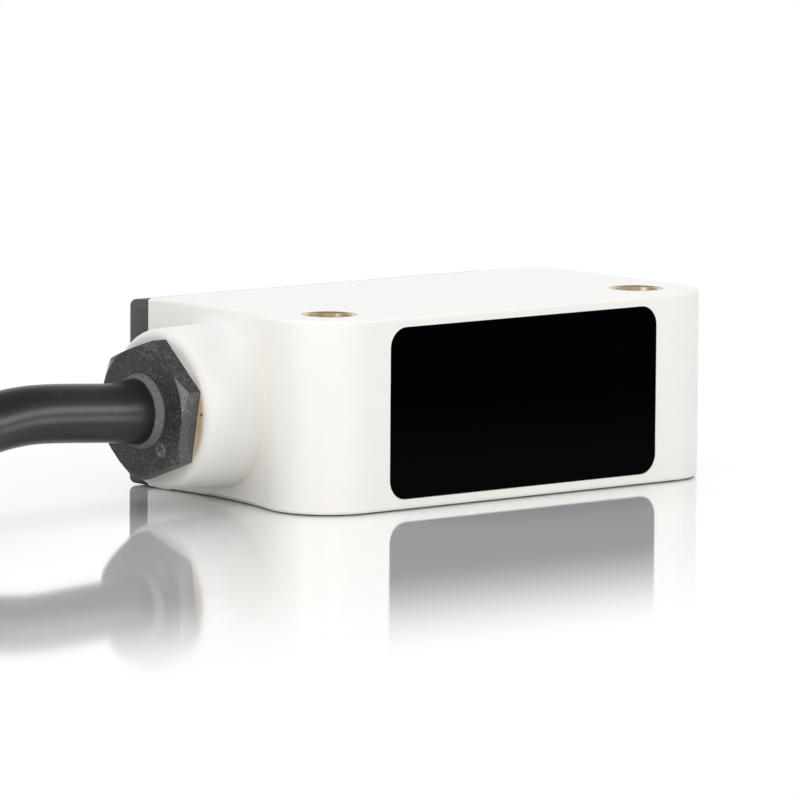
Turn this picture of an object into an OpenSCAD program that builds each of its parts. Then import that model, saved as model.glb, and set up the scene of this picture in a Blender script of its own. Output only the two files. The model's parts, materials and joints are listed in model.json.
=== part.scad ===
// Diffuse photoelectric sensor: a moulded block lying on its flat side, with a dark optical
// window in front, two brass through bushes and a gland with a round cable on its left end.
// Millimetres. X runs along the front face, Y from the front to the rear cover, Z up.
// The origin is the middle of the two fixing holes, on the face that the sensor rests on.

/* [Body] */
// Width over the two front corners
body_w = 50.4; // [46:0.2:60]
// Depth of the moulded housing, from the front face to the rear edge
body_d = 27.1; // [26:0.1:32]
// Thickness of the block, and length of the fixing bushes
body_h = 18; // [18:0.1:20]
// Radius of the two front corners
corner_r = 5.8; // [5.4:0.1:6.2]
// Radius of the hollow curve of the left side wall
waist_r = 46.2; // [31.2:5:61.2]
// Rounding of the upper and lower edges
edge_r = 0.35; // [0.2:0.05:0.6]
// Radius of the right rear corner, the end away from the cable
rear_r = 4.5; // [1:0.5:6]
// Wall thickness of the sides
wall = 1.6; // [1.4:0.1:2]
// Wall thickness of the top and the bottom
skin = 1.5; // [1.3:0.1:1.7]

/* [Window] */
// Width of the front window
window_w = 33; // [31:0.5:33]
// Height of the front window
window_h = 16; // [14:0.5:16]
// Corner radius of the front window
window_r = 1.9; // [1:0.1:3]
// Thickness of the front window
window_t = 1.6; // [1.2:0.1:2]

/* [Fixing holes] */
// Distance between the two fixing holes
hole_gap = 38.2; // [37.6:0.1:38.6]
// Clear bore of each bush, for an M4 screw
hole_d = 4.3; // [4.2:0.1:4.5]
// Outer diameter of each bush
bush_d = 5.2; // [5:0.1:5.6]

/* [Rear cover] */
// Thickness of the rear cover
cover_t = 3.2; // [2:0.1:4]
// Step between the housing and the cover, above, below and at the right end
cover_in = 0.4; // [0.2:0.05:0.8]
// Rounding of the edges of the cover
cover_r = 0.6; // [0.3:0.1:1]

/* [Cable gland] */
// Outer diameter of the round boss on the left end
boss_d = 15; // [14:0.1:15.2]
// How far the boss stands out past the front corner
boss_out = 6.1; // [5:0.1:8]
// Distance of the gland axis behind the fixing holes
boss_y = 10.3; // [9.5:0.1:11]
// Size of the gland nut across its flats
nut_af = 11.8; // [11:0.1:12.5]
// Height of the six flats of the gland nut
nut_t = 1.9; // [1.5:0.1:3]
// Height of the raised collar round the cable
collar_t = 0.8; // [0.4:0.1:1.2]
// Turn of the nut as it was tightened
nut_turn = 10.5; // [0:0.5:60]

/* [Cable] */
// Outer diameter of the cable jacket
cable_d = 5.5; // [5:0.1:5.5]
// Outer diameter of each insulated core
core_d = 1.3; // [1:0.1:1.6]
// Length of the cores past the end of the jacket
lead_l = 50; // [30:5:60]
// Stripped and tinned length of each core
tip_l = 6; // [4:1:10]

/* [Hidden] */

$fn = 64;
gap = 0.05;
eps = 0.01;

// Places along the depth and the width
hole_x = hole_gap / 2;
lobe_x = body_w / 2 - corner_r;
front_y = -corner_r;
rear_y = front_y + body_d;
mid_z = body_h / 2;
cavity_y = 5.2;

// Left side wall, seen mirrored: a hollow curve about waist_c that runs into the front corner.
// The line from the corner's centre to waist_c has the slope of a 7-24-25 triangle
waist_way = [0.96, 0.28];
waist_c = [lobe_x, 0] + (waist_r + corner_r) * waist_way;
waist_x = waist_c[0] - waist_r;

// Right rear corner
right_c = [body_w / 2 - rear_r, rear_y - rear_r];

// Optical parts
lens_x = 7.4;
lens_d = 13.4;
lens_cap_d = 12.2;
lens_cap_h = 1.4;
lens_rim = 0.9;
ledge_t = 1.2;
holder_y = front_y + window_t + ledge_t;
holder_w = 29.8;
seat_y = holder_y + 2.4;
optics_y = holder_y + 12.4;
board_t = 1.2;
cone_end_y = holder_y + 8;
bore_d = 5.4;
flange_bore_d = 6.2;
flange_y = optics_y - 1.2;
led_d = 5;
led_flange_d = 5.8;

// Circuit boards and their parts
main_y = optics_y + board_t;
main_z = 5;
top_z = main_z + board_t;
main_left = -20.4;
main_right = 17.4;
main_d = 8.6;
pin_w = 0.6;
pin_pitch = 2.54;
indicator_x = 9.8;
indicator_z = mid_z;
indicator_d = 3;
indicator_front = 16.6;

// Rear cover and its spigot
cover_y = rear_y;
cover_left = gap - left_x(0);
cover_right = right_c[0] - cover_in;
cover_h = body_h - 2 * cover_in;
spigot_left = -21.3;
spigot_w = 39.5;
spigot_l = 2;
spigot_wall = 1.1;
spigot_h = body_h - 2 * skin - 2 * gap;
seal_t = 0.7;
seal_l = 1.2;
lens_hole_d = 3.4;

// Cable gland, measured along X
boss_x = -body_w / 2 - boss_out;
thread_d = 9;
thread_l = 4.6;
chamber_d = 8.4;
chamber_l = 3.4;
washer_t = 0.5;
nut_bore_d = 5.7;
entry_hole_d = 5.9;
entry_end_x = -19.8;
collar_x = boss_x - nut_t - collar_t;
nut_face_r = nut_af / 2 + 0.05;
nut_back_r = nut_af / sqrt(3) + 0.1;
nut_bevel = (nut_back_r - nut_face_r) * tan(30);
collar_foot_r = 3.6;
collar_r = 3.15;
collar_mouth_r = 2.95;

// Free cable, resting on the surface that the sensor stands on
hank_x = -82;
hank_y = 18.95;
hank_run = 50;
hank_layers = 4;
turn_in = 3 * cable_d;
turn_out = 4 * cable_d;
floor_z = cable_d / 2;
hank_h = hank_layers * cable_d;
turn_mid = (turn_in + turn_out) / 2;
bundle = turn_out - turn_in + cable_d;
crest_h = hank_h + 4.8;
jacket_end = hank_x - 31;
tie_x = hank_x - hank_run / 2;
tie_w = 4;
tie_t = 0.8;

// Hand-chosen line of the cable from the nut to the hank
CABLE_ROUTE = [
    [collar_x, boss_y, mid_z], [-37, 10.3, 9.1], [-40, 10.3, 9.3], [-43, 10.3, 9.5],
    [-46, 10.3, 9.6], [-48.5, 10.3, 9.45], [-51, 10.2, 9.1], [-54, 9.9, 8.5],
    [-57, 9.3, 7.5], [-59.5, 8.4, 6.4], [-61.8, 7.2, 5.25], [-63.8, 5.8, 4.2],
    [-65.4, 4.4, 3.4], [-66.44, 3.39, 2.75]
];

// Unit vector, and the point of a swept ring
function unit(v) = v / norm(v);
function heading(p, i) = unit(p[min(i + 1, len(p) - 1)] - p[max(i - 1, 0)]);
function across(t) = abs(t[2]) > 0.9 ? [1, 0, 0] : unit([-t[1], t[0], 0]);
function ring_point(p, t, r, a) = p + r * (cos(a) * across(t) + sin(a) * cross(t, across(t)));

// Round tube swept along a list of points, closed at both ends
module tube(route, d, sides) {
    rings = len(route);
    points = [
        for (i = [0 : rings - 1])
            for (k = [0 : sides - 1])
                ring_point(route[i], heading(route, i), d / 2, 360 * k / sides)
    ];
    walls = [
        for (i = [0 : rings - 2])
            for (k = [0 : sides - 1])
                [i * sides + k, (i + 1) * sides + k,
                 (i + 1) * sides + (k + 1) % sides, i * sides + (k + 1) % sides]
    ];
    first = [for (k = [0 : sides - 1]) k];
    last = [for (k = [sides - 1 : -1 : 0]) (rings - 1) * sides + k];
    polyhedron(points, concat(walls, [first], [last]));
}

// Cylinder of diameter d from x0 to x1 along X, on the gland axis
module gland_rod(x0, x1, d) {
    translate([x0, boss_y, mid_z]) rotate([0, 90, 0]) cylinder(h = x1 - x0, d = d);
}

// Profile of radius and distance, turned about the gland axis, distance growing to the left
module gland_turned(x0, profile) {
    translate([x0, boss_y, mid_z]) rotate([0, -90, 0]) rotate_extrude() polygon(profile);
}

// Cylinder of diameter d from y0 to y1 along Y
module depth_rod(x, z, y0, y1, d) {
    translate([x, y0, z]) rotate([-90, 0, 0]) cylinder(h = y1 - y0, d = d);
}

// Cylinder from point a to point b in a level plane
module edge_roll(a, b, z, r) {
    translate([a[0], a[1], z])
        rotate([0, 90, atan2(b[1] - a[1], b[0] - a[0])])
            cylinder(h = norm(b - a), r = r, $fn = 32);
}

// Box with rounded edges and corners
module soft_box(low, high, r) {
    size = high - low;
    spans = [[r, r, 0], [r, 0, r], [0, r, r]];
    for (s = spans)
        translate(low + s) cube(size - 2 * s);
    for (x = [low[0] + r, high[0] - r])
        for (y = [low[1] + r, high[1] - r])
            translate([x, y, low[2] + r]) cylinder(h = size[2] - 2 * r, r = r, $fn = 32);
    for (z = [low[2] + r, high[2] - r]) {
        for (y = [low[1] + r, high[1] - r])
            edge_roll([low[0] + r, y], [high[0] - r, y], z, r);
        for (x = [low[0] + r, high[0] - r])
            edge_roll([x, low[1] + r], [x, high[1] - r], z, r);
        for (x = [low[0] + r, high[0] - r])
            for (y = [low[1] + r, high[1] - r])
                translate([x, y, z]) sphere(r = r, $fn = 32);
    }
}

// Plate in the XZ plane with rounded corners, from y0 to y1
module window_plate(w, h, r, y0, y1) {
    translate([0, y1, mid_z]) rotate([90, 0, 0]) linear_extrude(y1 - y0) {
        square([w - 2 * r, h], center = true);
        square([w, h - 2 * r], center = true);
        for (x = [-1, 1])
            for (z = [-1, 1])
                translate([x * (w / 2 - r), z * (h / 2 - r)]) circle(r = r);
    }
}

// Rear end of the hollow side wall, moved inwards by t, seen mirrored
function left_x(t) =
    waist_c[0] - sqrt(pow(waist_r + t, 2) - pow(rear_y - t - waist_c[1], 2));
function mirrored(p) = [-p[0], p[1]];

// Plan outline of the housing, moved inwards by t
module plan(t) {
    difference() {
        polygon([
            [-lobe_x, t - corner_r], [lobe_x, t - corner_r], [lobe_x, 0],
            [body_w / 2 - t, 0], [body_w / 2 - t, right_c[1]], right_c,
            [right_c[0], rear_y - t], [-left_x(t), rear_y - t], mirrored(waist_c), [-lobe_x, 0]
        ]);
        translate(mirrored(waist_c)) circle(r = waist_r + t, $fn = 360);
    }
    for (x = [-lobe_x, lobe_x])
        translate([x, 0]) circle(r = corner_r - t);
    translate(right_c) circle(r = rear_r - t);
}

// Profile that is cut away to round an edge: it lies past a corner at the origin
module round_off() {
    difference() {
        translate([-edge_r, -edge_r]) square(edge_r + 1);
        translate([-edge_r, -edge_r]) circle(r = edge_r, $fn = 32);
    }
}

// Rounding of a straight upper edge that runs from a to b, with the solid on its left
module edge_cut(a, b) {
    translate([a[0], a[1], 0]) rotate([90, 0, atan2(b[1] - a[1], b[0] - a[0]) + 90])
        linear_extrude(norm(b - a)) mirror([1, 0]) round_off();
}

// Part of the plane between the directions p and q, seen from c, for the stretch of an arc
module sector(c, p, q) {
    far = 60;
    mid = (p + q) / norm(p + q);
    translate([c[0], c[1], -edge_r - 1]) linear_extrude(edge_r + 3)
        polygon([[0, 0], far * p, 2 * far * mid, far * q]);
}

// Rounding of the upper edge of a corner of radius r about c, between the directions p and q
module corner_cut(c, r, p, q) {
    intersection() {
        translate([c[0], c[1], 0]) rotate_extrude() intersection() {
            translate([r, 0]) round_off();
            translate([0, -5]) square([r + 5, 10]);
        }
        sector(c, p, q);
    }
}

// Rounding of the upper edge of the hollow side wall, past the rear end
module hollow_cut() {
    intersection() {
        translate([-waist_c[0], waist_c[1], 0])
            rotate_extrude($fn = 360) translate([waist_r, 0]) mirror([1, 0]) round_off();
        sector(mirrored(waist_c), [waist_way[0], -waist_way[1]], [0.8, 0.6]);
    }
}

// The stretches of the upper edge, anticlockwise from the front
UPPER_CUTS = 7;
module upper_cut(k) {
    if (k == 0) edge_cut([-lobe_x, -corner_r], [lobe_x, -corner_r]);
    if (k == 1) corner_cut([lobe_x, 0], corner_r, [0, -1], [1, 0]);
    if (k == 2) edge_cut([body_w / 2, 0], [body_w / 2, right_c[1]]);
    if (k == 3) corner_cut(right_c, rear_r, [1, 0], [0, 1]);
    if (k == 4) edge_cut([right_c[0], rear_y], [-body_w / 2, rear_y]);
    if (k == 5) hollow_cut();
    if (k == 6) corner_cut([-lobe_x, 0], corner_r, mirrored(waist_way), [0, -1]);
}

// Block of the housing with the first of its upper and lower edges rounded
module block(cuts) {
    if (cuts == 0) {
        linear_extrude(body_h) plan(0);
    } else difference() {
        block(cuts - 1);
        translate([0, 0, body_h]) upper_cut(cuts - 1);
        mirror([0, 0, 1]) upper_cut(cuts - 1);
    }
}

// Round boss with a softened rim and a flared foot
module boss() {
    rim = 0.9;
    foot = 0.9;
    draft = 0.2;
    length = boss_out + body_w / 2 - waist_x + 1.5;
    base = 1.5;
    r = boss_d / 2;
    profile = concat(
        [[0, 0], [r + draft + foot, 0]],
        [for (a = [0 : 15 : 90])
            [r + draft + foot * (1 - sin(a)), base + foot * (1 - cos(a))]],
        [for (a = [0 : 15 : 90])
            [r - rim * (1 - cos(a)), length - rim * (1 - sin(a))]],
        [[0, length]]
    );
    gland_turned(boss_x + length, profile);
}

// Inside of the housing behind the lens holder
module cavity() {
    h = body_h - 2 * skin;
    translate([0, 0, skin]) linear_extrude(h) intersection() {
        plan(wall);
        translate([-body_w / 2, cavity_y])
            square([body_w, body_d]);
    }
    translate([spigot_left - gap, rear_y - 5, skin]) cube([spigot_w + 2 * gap, 6, h]);
    translate([-holder_w / 2 - gap, holder_y, skin])
        cube([holder_w + 2 * gap, rear_y - holder_y - 1, h]);
}

// Ledges on both side walls that the main board lies on
module board_rails() {
    size = [0, main_d - 1.4, main_z - skin];
    translate([main_left - 1, main_y + 0.6, skin]) cube(size + [2.6, 0, 0]);
    translate([main_right - 1.6, main_y + 0.6, skin]) cube(size + [7.8, 0, 0]);
}

module housing() {
    color([0.93, 0.93, 0.90]) {
        difference() {
            union() {
                block(UPPER_CUTS);
                boss();
            }
            window_plate(window_w + 2 * gap, window_h + 2 * gap, window_r, front_y - 1,
                         front_y + window_t);
            window_plate(holder_w + 0.6, window_h - 2.4, 1, front_y, holder_y + eps);
            cavity();
            for (x = [-hole_x, hole_x])
                translate([x, 0, -1]) cylinder(h = body_h + 2, d = bush_d);
            gland_rod(boss_x - 1, boss_x + thread_l, thread_d);
            gland_rod(boss_x, boss_x + thread_l + chamber_l, chamber_d);
            gland_rod(boss_x, entry_end_x, entry_hole_d);
            translate([spigot_left - seal_t, rear_y - seal_l, skin - seal_t])
                cube([spigot_w + 2 * seal_t, seal_l + 1, body_h - 2 * skin + 2 * seal_t]);
        }
        board_rails();
    }
}

module front_window() {
    color([0.02, 0.02, 0.02])
        window_plate(window_w, window_h, window_r - gap, front_y, front_y + window_t);
}

module bush(x) {
    bevel = 0.15;
    color([0.86, 0.72, 0.45]) translate([x, 0, 0]) rotate_extrude() polygon([
        [hole_d / 2, bevel], [hole_d / 2 + bevel, 0], [bush_d / 2, 0],
        [bush_d / 2, body_h], [hole_d / 2 + bevel, body_h], [hole_d / 2, body_h - bevel]
    ]);
}

module rear_cover() {
    color([0.20, 0.20, 0.20]) difference() {
        union() {
            intersection() {
                soft_box([cover_left, cover_y - 2, cover_in],
                         [cover_right, cover_y + cover_t, cover_in + cover_h], cover_r);
                translate([cover_left - 1, cover_y, -1]) cube([body_w, cover_t + 1, body_h + 2]);
            }
            difference() {
                translate([spigot_left, cover_y - spigot_l, skin + gap])
                    cube([spigot_w, spigot_l + 0.5, spigot_h]);
                translate([spigot_left + spigot_wall, cover_y - spigot_l - 1,
                           skin + gap + spigot_wall])
                    cube([spigot_w - 2 * spigot_wall, spigot_l + 1, spigot_h - 2 * spigot_wall]);
            }
        }
        depth_rod(indicator_x, indicator_z, cover_y - 1, cover_y + cover_t + 1, lens_hole_d);
    }
}

module cover_seal() {
    color([0.12, 0.12, 0.13]) difference() {
        translate([spigot_left - seal_t, rear_y - seal_l, skin - seal_t])
            cube([spigot_w + 2 * seal_t, seal_l, body_h - 2 * skin + 2 * seal_t]);
        translate([spigot_left, rear_y - seal_l - 1, skin + gap])
            cube([spigot_w, seal_l + 2, spigot_h]);
    }
}

module gland_nut() {
    shank_r = thread_d / 2 - 0.1;
    bore_r = nut_bore_d / 2;
    top = nut_t + collar_t;
    profile = [
        [bore_r, -thread_l + 0.2], [shank_r - 0.3, -thread_l + 0.2],
        [shank_r, -thread_l + 0.5], [shank_r, 0], [nut_back_r, 0],
        [nut_back_r, nut_t - nut_bevel], [nut_face_r, nut_t], [collar_foot_r, nut_t],
        [collar_r + 0.35, nut_t + 0.15], [collar_r + 0.1, top - 0.05], [collar_r, top],
        [collar_mouth_r, top], [bore_r, top - 0.2]
    ];
    color([0.16, 0.16, 0.17]) intersection() {
        gland_turned(boss_x, profile);
        translate([boss_x, boss_y, mid_z]) rotate([0, -90, 0]) union() {
            rotate([0, 0, -nut_turn]) cylinder(h = top, d = 2 * nut_af / sqrt(3), $fn = 6);
            translate([0, 0, -thread_l]) cylinder(h = thread_l + eps, d = thread_d);
        }
    }
}

module gland_washer() {
    x = boss_x + thread_l - 0.2;
    color([0.75, 0.75, 0.72]) difference() {
        gland_rod(x, x + washer_t, chamber_d - 0.2);
        gland_rod(x - 1, x + washer_t + 1, cable_d + 0.1);
    }
}

module gland_seal() {
    x = boss_x + thread_l - 0.2 + washer_t;
    color([0.10, 0.10, 0.10]) difference() {
        gland_rod(x, boss_x + thread_l + chamber_l, chamber_d);
        gland_rod(x - 1, boss_x + thread_l + chamber_l + 1, cable_d);
    }
}

module cable_entry() {
    color([0.15, 0.15, 0.15]) gland_rod(collar_x, entry_end_x, cable_d);
}

module light_tunnel(x) {
    depth_rod(x, mid_z, holder_y - 1, seat_y, lens_d + 0.2);
    translate([x, seat_y, mid_z]) rotate([-90, 0, 0])
        cylinder(h = cone_end_y - seat_y, d1 = lens_cap_d, d2 = bore_d);
    depth_rod(x, mid_z, cone_end_y - eps, optics_y + 1, bore_d);
    depth_rod(x, mid_z, flange_y, optics_y + 1, flange_bore_d);
}

module lens_holder() {
    color([0.08, 0.08, 0.08]) difference() {
        translate([-holder_w / 2, holder_y, skin])
            cube([holder_w, optics_y - holder_y, body_h - 2 * skin]);
        light_tunnel(-lens_x);
        light_tunnel(lens_x);
    }
}

// Plano-convex lens with a flat rim, its curved side to the front
module lens(x) {
    cap_r = (pow(lens_cap_d / 2, 2) + pow(lens_cap_h, 2)) / (2 * lens_cap_h);
    rim_y = seat_y - lens_rim;
    color([0.75, 0.80, 0.85]) {
        depth_rod(x, mid_z, rim_y, seat_y, lens_d);
        intersection() {
            translate([x, rim_y - lens_cap_h + cap_r, mid_z]) sphere(r = cap_r, $fn = 240);
            depth_rod(x, mid_z, rim_y - lens_cap_h - 1, rim_y + 0.2, lens_cap_d);
        }
    }
}

module optics_board() {
    color([0.10, 0.35, 0.20])
        translate([-holder_w / 2, optics_y, skin]) cube([holder_w, board_t, body_h - 2 * skin]);
}

module emitter_led() {
    tip_y = optics_y - 5.3;
    color([0.35, 0.40, 0.60]) {
        depth_rod(-lens_x, mid_z, optics_y - 1, optics_y, led_flange_d);
        depth_rod(-lens_x, mid_z, tip_y + led_d / 2, optics_y - 0.5, led_d);
        translate([-lens_x, tip_y + led_d / 2, mid_z]) sphere(d = led_d);
    }
}

module receiver_diode() {
    color([0.05, 0.05, 0.08])
        translate([lens_x - 2.2, optics_y - 1.1, mid_z - 2]) cube([4.4, 1.1, 4]);
}

module shield_can() {
    t = 0.3;
    low = [lens_x - 4.8, main_y, 7.4];
    size = [9.6, 2.6, 8];
    color([0.75, 0.76, 0.78]) difference() {
        translate(low) cube(size);
        translate(low + [t, -1, t]) cube(size + [-2 * t, 1 - t, -2 * t]);
        for (k = [0 : 2])
            translate(low + [2 + 2.8 * k, 0, size[2] / 2])
                rotate([-90, 0, 0]) cylinder(h = 4, d = 1.2);
    }
}

module main_board() {
    color([0.10, 0.35, 0.20])
        translate([main_left, main_y, main_z]) cube([main_right - main_left, main_d, board_t]);
}

// Right-angle pins that join the two boards
module board_pins() {
    color([0.80, 0.68, 0.35]) for (k = [0 : 4]) {
        x = -12.8 + k * pin_pitch;
        translate([x, main_y, top_z + 0.8]) cube([pin_w, 1.6, pin_w]);
        translate([x, main_y + 1, top_z]) cube([pin_w, pin_w, 0.8 + pin_w]);
    }
}

module control_chip() {
    low = [-4.3, 14.2, top_z];
    size = [8.6, 3.9, 1.5];
    leg = [0.42, 1, 0.25];
    color([0.08, 0.08, 0.09]) translate(low + [0, 0, 0.1]) cube(size);
    color([0.78, 0.78, 0.80]) for (k = [0 : 6])
        for (side = [0, 1])
            translate(low + [0.28 + 1.27 * k, side ? size[1] - 0.1 : 0.1 - leg[1], 0]) {
                cube(leg);
                translate([0, side ? 0 : leg[1] - 0.3, 0]) cube([leg[0], 0.3, 0.9]);
            }
}

module output_transistor() {
    low = [-13.4, 15, top_z];
    color([0.08, 0.08, 0.09]) translate(low + [0, 0, 0.1]) cube([6.5, 2.5, 1.5]);
    color([0.78, 0.78, 0.80]) {
        translate(low + [1.75, 2.4, 0]) cube([3, 1.2, 0.3]);
        for (k = [0 : 2])
            translate(low + [0.6 + 2.3 * k, -0.9, 0]) cube([0.7, 1, 0.3]);
    }
}

module supply_capacitor() {
    x = 14.4;
    y = 15.2;
    color([0.12, 0.12, 0.13]) translate([x - 2.6, y - 2.6, top_z]) cube([5.2, 5.2, 0.8]);
    color([0.80, 0.80, 0.82]) translate([x, y, top_z + 0.8]) rotate_extrude() polygon([
        [0, 0], [2.5, 0], [2.5, 0.7], [2.3, 0.9], [2.3, 1.1], [2.5, 1.3], [2.5, 4.3],
        [2.2, 4.6], [0, 4.6]
    ]);
}

module chip_resistors() {
    color([0.15, 0.15, 0.18]) {
        for (k = [0 : 4])
            translate([5.4 + 1.4 * k, 12.8, top_z]) cube([0.8, 1.6, 0.45]);
        for (k = [0 : 2])
            translate([-6.8, 11.4 + 1.4 * k, top_z]) cube([1.6, 0.8, 0.45]);
    }
}

module chip_capacitors() {
    color([0.62, 0.50, 0.36]) for (k = [0 : 1])
        translate([4.9 + 1.7 * k, 15.6, top_z]) cube([1.25, 2, 0.9]);
}

// Small lamp bent towards the rear, its dome in the lens of the cover
module indicator_led() {
    x = indicator_x;
    z = indicator_z;
    back = cover_y - 0.4;
    color([0.70, 0.15, 0.12]) {
        depth_rod(x, z, indicator_front, indicator_front + 1, indicator_d + 0.6);
        depth_rod(x, z, indicator_front, back - indicator_d / 2, indicator_d);
        translate([x, back - indicator_d / 2, z]) sphere(d = indicator_d);
    }
    color([0.78, 0.78, 0.80]) for (side = [-1, 1]) {
        translate([x + side * 1.27 - 0.25, indicator_front - 1, z - 0.25]) cube([0.5, 1, 0.5]);
        translate([x + side * 1.27 - 0.25, indicator_front - 1, top_z])
            cube([0.5, 0.5, z - top_z]);
    }
}

module indicator_lens() {
    rim_t = 0.6;
    color([0.85, 0.25, 0.20]) difference() {
        union() {
            depth_rod(indicator_x, indicator_z, cover_y - rim_t, cover_y, lens_hole_d + 1);
            depth_rod(indicator_x, indicator_z, cover_y - eps, cover_y + cover_t, lens_hole_d);
        }
        depth_rod(indicator_x, indicator_z, cover_y - 1, cover_y + 0.6, indicator_d + 0.1);
    }
}

// Centres of the three cores in the end of the jacket, across and up from the cable axis
function core_place(k) = 1.25 * [cos(120 * k + 90), sin(120 * k + 90)];

// Core k leaves the jacket level, then bends to the rear and down onto its pad
module core(k) {
    at = core_place(k);
    start = [entry_end_x, boss_y + at[0], mid_z + at[1]];
    pad = [[-17.25, -15.6, -18.9][k], 13.6, top_z + core_d / 2];
    route = concat([start], [for (u = [0 : 0.1 : 1])
        let (d = u * u * (3 - 2 * u))
        [start[0] + 0.3 + (pad[0] - start[0] - 0.3) * sin(90 * u),
         start[1] + (pad[1] - start[1]) * (1 - cos(90 * u)),
         start[2] + (pad[2] - start[2]) * d]]);
    tube(route, core_d, 8);
}

module cable() {
    color([0.15, 0.15, 0.15]) tube(CABLE_ROUTE, cable_d, 12);
}

// Ring with straight sides and round ends, from radius r0 to r1
module racetrack(r0, r1) {
    difference() {
        union() {
            for (x = [0, -hank_run])
                translate([hank_x + x, hank_y]) circle(r = r1);
            translate([hank_x - hank_run, hank_y - r1]) square([hank_run, 2 * r1]);
        }
        for (x = [0, -hank_run])
            translate([hank_x + x, hank_y]) circle(r = r0);
        translate([hank_x - hank_run, hank_y - r0]) square([hank_run, 2 * r0]);
    }
}

// Ring of turns, with the end of the jacket lying in the groove on top and a hollow under
// each tie
module cable_hank() {
    color([0.15, 0.15, 0.15]) difference() {
        union() {
            linear_extrude(hank_h) racetrack(turn_in - floor_z, turn_out + floor_z);
            linear_extrude(crest_h) intersection() {
                racetrack(turn_mid - floor_z, turn_mid + floor_z);
                translate([jacket_end, hank_y - 40]) square([80, 40]);
            }
        }
        translate([tie_x - tie_w / 2, hank_y - 40, -1]) cube([tie_w, 80, tie_t + 1]);
    }
}

// Closed band across the side of the hank at y, over a top of the given corners
module tie_band(y, top) {
    half = bundle / 2;
    t = tie_t;
    inner = concat([[-half, t], [half, t], [half, hank_h]], top, [[-half, hank_h]]);
    outer = concat([[-half - t, 0], [half + t, 0], [half + t, hank_h + t / 2]],
                   [for (p = top) p + [p[0] > 0 ? t / 2 : -t / 2, t]],
                   [[-half - t, hank_h + t / 2]]);
    translate([tie_x + tie_w / 2, y, 0]) rotate([90, 0, -90]) linear_extrude(tie_w)
        difference() {
            mirror([1, 0]) polygon(outer);
            mirror([1, 0]) polygon(inner);
        }
}

// Two bands that hold the long sides of the hank together
module cable_ties() {
    color([0.10, 0.10, 0.10]) {
        tie_band(hank_y - turn_mid, [[floor_z, crest_h], [-floor_z, crest_h]]);
        tie_band(hank_y + turn_mid, [[bundle / 2 - 0.1, hank_h], [0.1 - bundle / 2, hank_h]]);
    }
}

// Place of lead k at the distance s from the end of the jacket: it drops onto the turns and
// follows them round the left end
function lead_r(k) = turn_mid + 1.45 * (1 - k);
function lead_z(k, s) =
    let (u = min(1, max(0, s - 2) / 8), w = u * u * (3 - 2 * u), top = hank_h + 2 + (k == 1 ? 1.3 : -0.7))
    top + w * (hank_h + core_d / 2 - top);
function lead_at(k, s) =
    let (straight = jacket_end - hank_x + hank_run, turn = (s - straight) / lead_r(k) * 180 / PI)
    s < straight
        ? [jacket_end - s, hank_y - lead_r(k), lead_z(k, s)]
        : [hank_x - hank_run - lead_r(k) * sin(turn), hank_y - lead_r(k) * cos(turn),
           lead_z(k, s)];

module lead(k) {
    tube([for (s = [0 : 2 : lead_l - tip_l]) lead_at(k, s)], core_d, 8);
}

module lead_tips() {
    color([0.80, 0.80, 0.82]) for (k = [0 : 2])
        tube([for (s = [lead_l - tip_l : 2 : lead_l]) lead_at(k, s)], 0.8, 8);
}

housing();
front_window();
bush(-hole_x);  // bush_left
bush(hole_x);  // bush_right
rear_cover();
cover_seal();
gland_nut();
gland_washer();
gland_seal();
cable_entry();
lens_holder();
lens(-lens_x);  // emitter_lens
lens(lens_x);  // receiver_lens
optics_board();
emitter_led();
receiver_diode();
shield_can();
main_board();
board_pins();
control_chip();
output_transistor();
supply_capacitor();
chip_resistors();
chip_capacitors();
indicator_led();
indicator_lens();
color([0.35, 0.20, 0.12]) core(0);  // core_brown
color([0.10, 0.25, 0.60]) core(1);  // core_blue
color([0.08, 0.08, 0.08]) core(2);  // core_black
cable();
cable_hank();
cable_ties();
color([0.35, 0.20, 0.12]) lead(0);  // lead_brown
color([0.10, 0.25, 0.60]) lead(1);  // lead_blue
color([0.08, 0.08, 0.08]) lead(2);  // lead_black
lead_tips();
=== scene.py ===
"""Diffuse photoelectric sensor: finishes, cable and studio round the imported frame."""

import json
import math

import bmesh
import bpy
from mathutils import Matrix, Vector


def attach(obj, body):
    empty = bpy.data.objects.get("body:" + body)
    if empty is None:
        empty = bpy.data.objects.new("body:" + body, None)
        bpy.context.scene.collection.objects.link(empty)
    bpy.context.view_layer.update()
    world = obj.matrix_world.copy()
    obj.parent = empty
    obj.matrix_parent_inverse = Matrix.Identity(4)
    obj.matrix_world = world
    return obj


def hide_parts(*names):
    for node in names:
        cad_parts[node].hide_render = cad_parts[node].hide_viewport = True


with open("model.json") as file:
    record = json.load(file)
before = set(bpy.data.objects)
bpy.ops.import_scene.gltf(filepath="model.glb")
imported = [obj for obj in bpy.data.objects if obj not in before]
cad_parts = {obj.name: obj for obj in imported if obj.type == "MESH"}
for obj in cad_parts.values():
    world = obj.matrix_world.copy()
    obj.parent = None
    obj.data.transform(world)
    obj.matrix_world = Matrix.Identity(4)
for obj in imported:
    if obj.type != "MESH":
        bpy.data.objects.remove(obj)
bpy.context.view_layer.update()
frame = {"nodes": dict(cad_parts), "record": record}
nodes = frame["nodes"]
MM = 0.001


def mm(*values):
    """A point given in millimetres, in metres."""
    return Vector(values) * MM


def ease(u):
    """Smooth step from 0 to 1."""
    u = min(1.0, max(0.0, u))
    return u * u * (3 - 2 * u)


def link(obj):
    """Put an object in the scene."""
    bpy.context.scene.collection.objects.link(obj)
    return obj


# Camera

CAMERA_AT = mm(-491.26, -566.01, 99.94)
CAMERA_AZIMUTH = 40.346
CAMERA_ELEVATION = 6.953
CAMERA_ROLL = 0.405
LENS_MM = 360.0


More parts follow.
